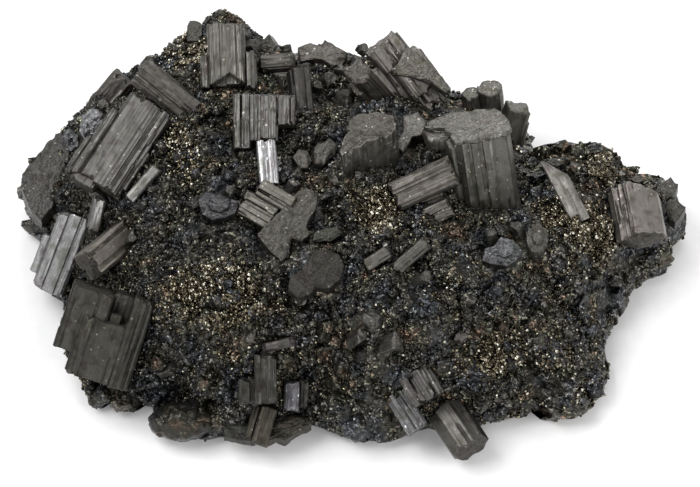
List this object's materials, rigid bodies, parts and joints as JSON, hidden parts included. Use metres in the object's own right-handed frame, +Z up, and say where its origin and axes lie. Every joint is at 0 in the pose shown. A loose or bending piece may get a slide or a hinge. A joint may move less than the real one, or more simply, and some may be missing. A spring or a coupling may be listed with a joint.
{
  "type": "bournonite and pyrite specimen",
  "caption": "Natural ore specimen: striated grey prisms of bournonite and crusts of small brassy pyrite crystals on a dark rock matrix, which lies on its flat underside.",
  "frame": {"origin": "a point on the flat underside of the matrix, near its middle", "axes": "+Z up, away from the surface that it lies on; +X along its longest extent, to the right as the picture shows it; +Y to the back"},
  "size_m": [0.1277, 0.0942, 0.0393],
  "materials": {
    "matrix_rock": "satin",
    "bournonite_striated": "satin",
    "bournonite_dull": "matte",
    "bournonite_bright": "gloss",
    "pyrite_crust": "satin"
  },
  "bodies": {
    "root": {"matrix": "matrix_rock", "bournonite_crest": "bournonite_striated", "bournonite_crest_left": "bournonite_dull", "bournonite_large_prism": "bournonite_striated", "bournonite_round_lobes": "bournonite_dull", "bournonite_lobe_right": "bournonite_dull", "bournonite_bar": "bournonite_striated", "bournonite_middle_block": "bournonite_dull", "bournonite_kidney": "bournonite_dull", "bournonite_left_block": "bournonite_striated", "bournonite_left_sliver": "bournonite_bright", "bournonite_upper_lath": "bournonite_striated", "bournonite_shoulder": "bournonite_dull", "bournonite_left_edge": "bournonite_dull", "bournonite_left_blue": "bournonite_bright", "bournonite_left_shard": "bournonite_bright", "bournonite_left_wedge": "bournonite_dull", "bournonite_low_left": "bournonite_dull", "bournonite_top_column": "bournonite_striated", "bournonite_fluted": "bournonite_striated", "bournonite_bright_shard": "bournonite_bright", "bournonite_dark_column": "bournonite_striated", "bournonite_top_ledge": "bournonite_striated", "bournonite_top_slab": "bournonite_dull", "bournonite_pale_lath": "bournonite_bright", "bournonite_right_block": "bournonite_striated", "bournonite_right_stub": "bournonite_dull", "bournonite_pale_lump": "bournonite_bright", "bournonite_star": "bournonite_dull", "bournonite_cog": "bournonite_dull", "bournonite_small_lath": "bournonite_striated", "bournonite_long_lath": "bournonite_striated", "bournonite_dark_nodule": "bournonite_striated", "bournonite_bottom_tall": "bournonite_striated", "bournonite_bottom_blue": "bournonite_bright", "bournonite_bottom_slant": "bournonite_dull", "bournonite_bottom_ledge": "bournonite_dull", "bournonite_bottom_blade": "bournonite_dull", "bournonite_bottom_prism": "bournonite_striated", "bournonite_bottom_ridges": "bournonite_striated", "bournonite_bottom_glassy": "bournonite_bright", "pyrite_crust_crest": "pyrite_crust", "pyrite_crust_left": "pyrite_crust", "pyrite_crust_lower_left": "pyrite_crust", "pyrite_crust_middle": "pyrite_crust", "pyrite_crust_right": "pyrite_crust", "pyrite_crust_top_right": "pyrite_crust", "pyrite_crust_lower_right": "pyrite_crust"}
  },
  "joints": []
}
